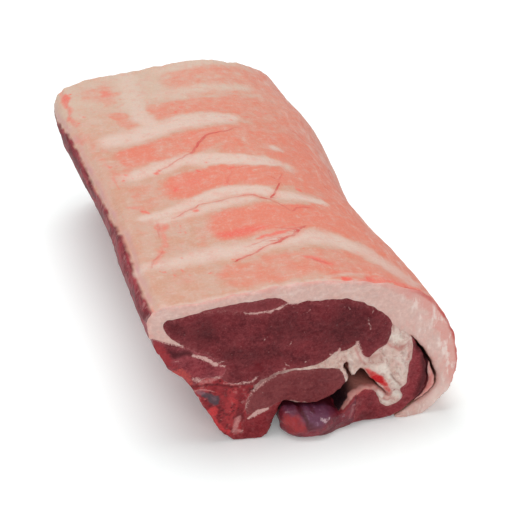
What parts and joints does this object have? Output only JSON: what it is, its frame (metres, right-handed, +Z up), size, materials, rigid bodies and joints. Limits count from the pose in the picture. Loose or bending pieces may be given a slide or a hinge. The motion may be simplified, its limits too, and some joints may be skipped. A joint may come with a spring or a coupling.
{
  "type": "raw lamb short loin",
  "caption": "Raw half loin of lamb: a pale cover of fat over the eye muscle, tenderloin and split backbone, with the tail of the flank curled under at the cut.",
  "frame": {"origin": "middle of the underside of the whole loin's box, on the surface it lies on", "axes": "+Y along the backbone from the near cut to the far cut, +X from the split backbone to the flank, +Z up through the fat cover"},
  "size_m": [0.1154, 0.1958, 0.0652],
  "materials": {
    "fat": "pale cream and salmon pink fat under a thin moist skin",
    "inner_fat": "white soft fat, moist",
    "dark_meat": "dark red cut muscle with a fine grain, moist",
    "light_meat": "red cut muscle, moist",
    "bone": "bright red spongy sawn bone",
    "skirt": "magenta to purple meat under a wet membrane"
  },
  "bodies": {
    "root": {"fat_cover": "fat", "cap_strip": "light_meat", "eye_muscle": "dark_meat", "back_muscle": "light_meat", "chine_bone": "bone", "tenderloin": "dark_meat", "psoas_minor": "light_meat", "seam_fat": "inner_fat", "flap_muscle": "dark_meat", "flap_roll": "skirt", "flank_strip": "light_meat"}
  },
  "joints": []
}
